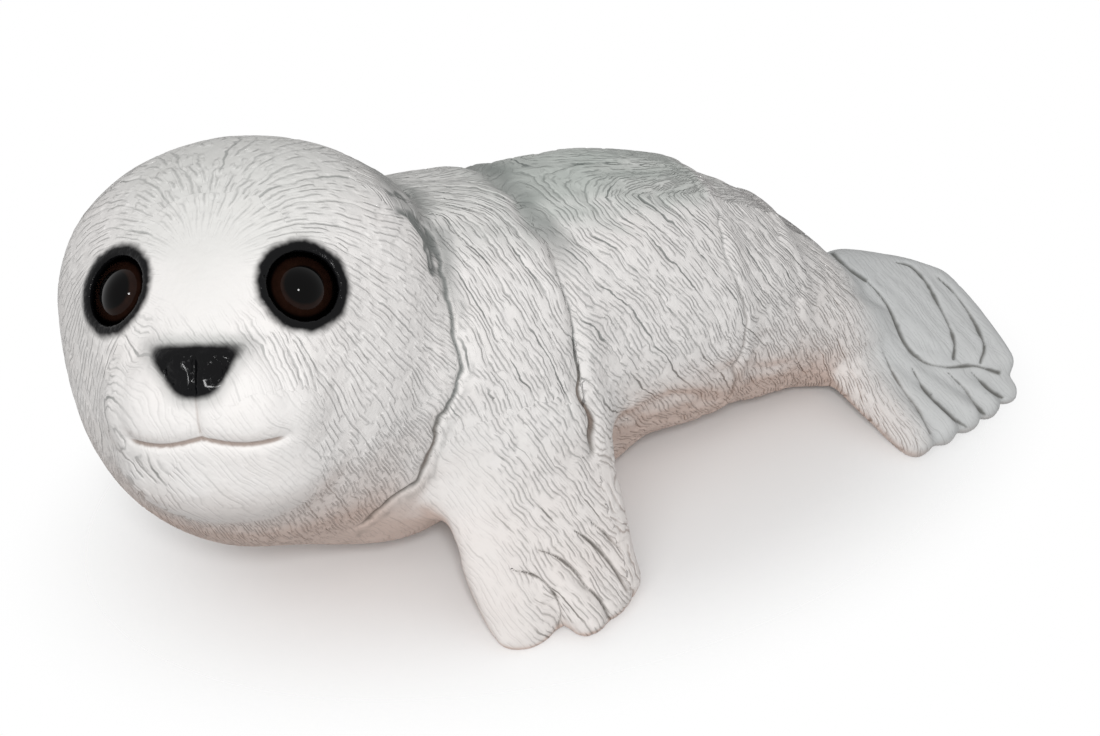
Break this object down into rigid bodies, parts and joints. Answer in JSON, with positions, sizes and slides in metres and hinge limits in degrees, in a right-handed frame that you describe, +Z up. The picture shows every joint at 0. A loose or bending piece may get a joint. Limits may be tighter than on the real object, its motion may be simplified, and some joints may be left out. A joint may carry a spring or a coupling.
{
  "type": "seal pup figurine",
  "caption": "White seal pup figurine lying on its belly, head turned and lifted, cast in resin with carved fur and glass eyes.",
  "frame": {"origin": "on the floor, under the middle of the belly, on the flat that the pup rests on", "axes": "+Z up, +Y along the body towards the tail, +X to the pup's left"},
  "size_m": [0.1435, 0.2487, 0.1112],
  "materials": {
    "resin": "matte, washed grey in the folds and brown underneath",
    "eye_glass": "polished, dark brown behind clear glass"
  },
  "bodies": {
    "root": {"body": "resin", "left_eye": "eye_glass", "right_eye": "eye_glass"}
  },
  "joints": []
}
